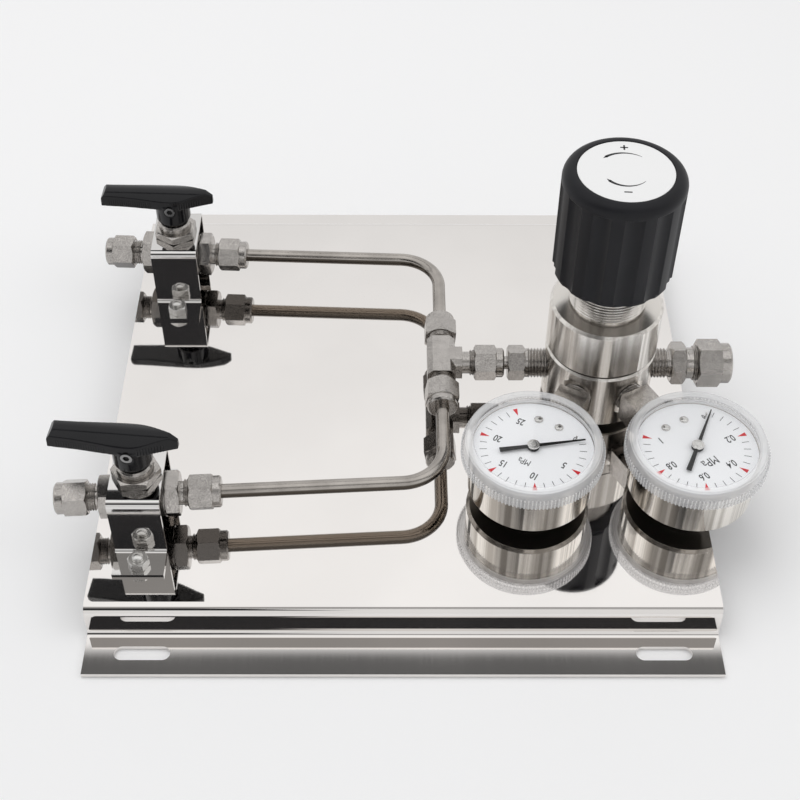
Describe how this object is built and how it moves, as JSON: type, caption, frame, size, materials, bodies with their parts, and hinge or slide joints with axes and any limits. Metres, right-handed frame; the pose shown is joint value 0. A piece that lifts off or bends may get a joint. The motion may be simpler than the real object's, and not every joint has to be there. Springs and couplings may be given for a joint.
{
  "type": "gas manifold panel",
  "caption": "Raised sheet-steel panel carrying lever shut-off valves, bent tube runs, a tee and a knob-adjusted gas pressure regulator with dial gauges.",
  "frame": {"origin": "centre of the slot pattern on the mounting plane, the underside of the flanges", "axes": "+X from the valves to the regulator outlet, +Y from the gauges to the back flange, +Z away from the wall"},
  "size_m": [0.2984, 0.2904, 0.1447],
  "materials": {
    "mirror_sheet": "mirror-polished stainless sheet",
    "bright_sheet": "bright-polished stainless sheet",
    "fitting_steel": "satin stainless steel, turned and bead-blasted",
    "turned_steel": "turned stainless steel with a fine tool finish",
    "tube_steel": "drawn stainless tube",
    "case_steel": "polished drawn stainless case",
    "screw_steel": "bright stainless screws",
    "spring_steel": "oiled spring wire",
    "gloss_black": "glossy black moulded plastic",
    "grip_black": "satin black moulded plastic",
    "label_white": "white printed disc",
    "clear_lens": "clear moulded plastic",
    "dial_white": "white printed dial",
    "pointer_black": "black painted pointer",
    "brass": "plain brass movement",
    "seat_plastic": "white seat plastic"
  },
  "bodies": {
    "panel": {"base_plate": "mirror_sheet", "bracket_front": "bright_sheet", "bracket_back": "bright_sheet", "bracket_screws": "screw_steel", "bracket_nuts": "screw_steel", "valve_body_front": "fitting_steel", "valve_body_back": "fitting_steel", "valve_inlet_end_front": "fitting_steel", "valve_inlet_end_back": "fitting_steel", "valve_outlet_end_front": "fitting_steel", "valve_outlet_end_back": "fitting_steel", "panel_nut_front": "fitting_steel", "panel_nut_back": "fitting_steel", "packing_nut_front": "fitting_steel", "packing_nut_back": "fitting_steel", "seats_front": "seat_plastic", "seats_back": "seat_plastic", "inlet_nut_front": "fitting_steel", "inlet_nut_back": "fitting_steel", "outlet_nut_front": "fitting_steel", "outlet_nut_back": "fitting_steel", "tube_front": "tube_steel", "tube_back": "tube_steel", "tee_body": "fitting_steel", "tee_nut_front": "fitting_steel", "tee_nut_back": "fitting_steel", "tee_nut_branch": "fitting_steel", "inlet_adapter": "fitting_steel", "regulator_body": "turned_steel", "regulator_screws": "screw_steel", "diaphragm": "turned_steel", "bonnet": "turned_steel", "range_spring": "spring_steel", "outlet_connector": "fitting_steel", "outlet_nut": "fitting_steel", "gauge_inlet_socket": "fitting_steel", "gauge_inlet_case": "case_steel", "gauge_inlet_dial": "dial_white", "gauge_inlet_lens": "clear_lens", "gauge_inlet_movement": "brass", "gauge_outlet_socket": "fitting_steel", "gauge_outlet_case": "case_steel", "gauge_outlet_dial": "dial_white", "gauge_outlet_lens": "clear_lens", "gauge_outlet_movement": "brass"},
    "handle_front": {"stem_front": "fitting_steel", "handle_front": "gloss_black", "set_screw_front": "screw_steel"},
    "handle_back": {"stem_back": "fitting_steel", "handle_back": "gloss_black", "set_screw_back": "screw_steel"},
    "spring_button": {"spring_button": "turned_steel"},
    "knob": {"knob": "grip_black", "knob_label": "label_white", "adjusting_screw": "screw_steel"},
    "pointer_inlet": {"gauge_inlet_pointer": "pointer_black"},
    "pointer_outlet": {"gauge_outlet_pointer": "pointer_black"}
  },
  "joints": [
    {"name": "handle_front_turn", "type": "hinge", "parent": "panel", "child": "handle_front", "pos_m": [-0.1095, -0.078, 0.036], "axis": [0, 0, 1], "range_deg": [-81, 9]},
    {"name": "handle_back_turn", "type": "hinge", "parent": "panel", "child": "handle_back", "pos_m": [-0.1095, 0.0755, 0.036], "axis": [0, 0, 1], "range_deg": [-90, 0]},
    {"name": "button_travel", "type": "slide", "parent": "panel", "child": "spring_button", "axis": [0, 0, 1], "range_m": [-0.0072, 0.0002], "deforming": ["range_spring"]},
    {"name": "knob_turn", "type": "hinge", "parent": "spring_button", "child": "knob", "pos_m": [0.0888, 0, 0.1447], "axis": [0, 0, 1], "range_deg": [-1620, 0]},
    {"name": "pointer_inlet_turn", "type": "hinge", "parent": "panel", "child": "pointer_inlet", "pos_m": [0.05438, -0.0621, 0.0478], "axis": [0, 0, 1], "range_deg": [-260, 0], "stiffness_Nm_per_rad": 0.0002},
    {"name": "pointer_outlet_turn", "type": "hinge", "parent": "panel", "child": "pointer_outlet", "pos_m": [0.12322, -0.0621, 0.0478], "axis": [0, 0, 1], "range_deg": [-260, 0], "stiffness_Nm_per_rad": 0.0002}
  ],
  "couplings": [
    {"joint": "button_travel", "follows": "knob_turn", "m_per_rad": 0.00023873}
  ]
}
